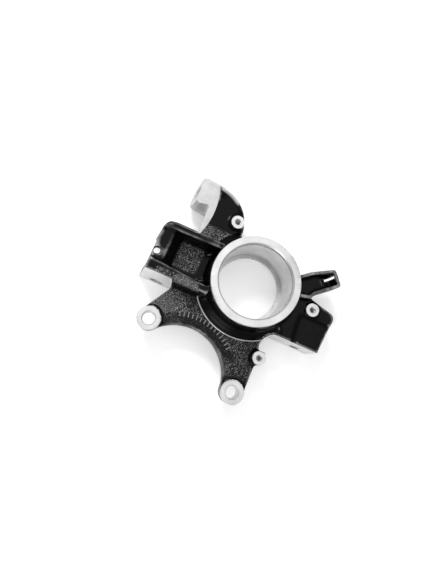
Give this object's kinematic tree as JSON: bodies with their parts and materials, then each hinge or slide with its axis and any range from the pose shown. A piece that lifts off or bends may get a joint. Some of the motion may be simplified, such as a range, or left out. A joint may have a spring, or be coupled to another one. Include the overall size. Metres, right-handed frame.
{
  "type": "steering knuckle",
  "caption": "Cast iron steering knuckle with a pressed-bearing hub bore, caliper wing, strut tab, steering arm, clamp block for a ball joint and a channel-shaped stop arm.",
  "frame": {"origin": "centre of the wheel bearing's seat, on the bore's axis", "axes": "+Z along the bore, outboard and up as it lies; -X towards the strut tab, +X towards the ball-joint block; -Y towards the caliper wing"},
  "size_m": [0.2003, 0.2055, 0.06],
  "materials": {
    "painted_casting": "semi-gloss black paint, bare where machined"
  },
  "bodies": {
    "root": {"steering_knuckle": "painted_casting"}
  },
  "joints": []
}
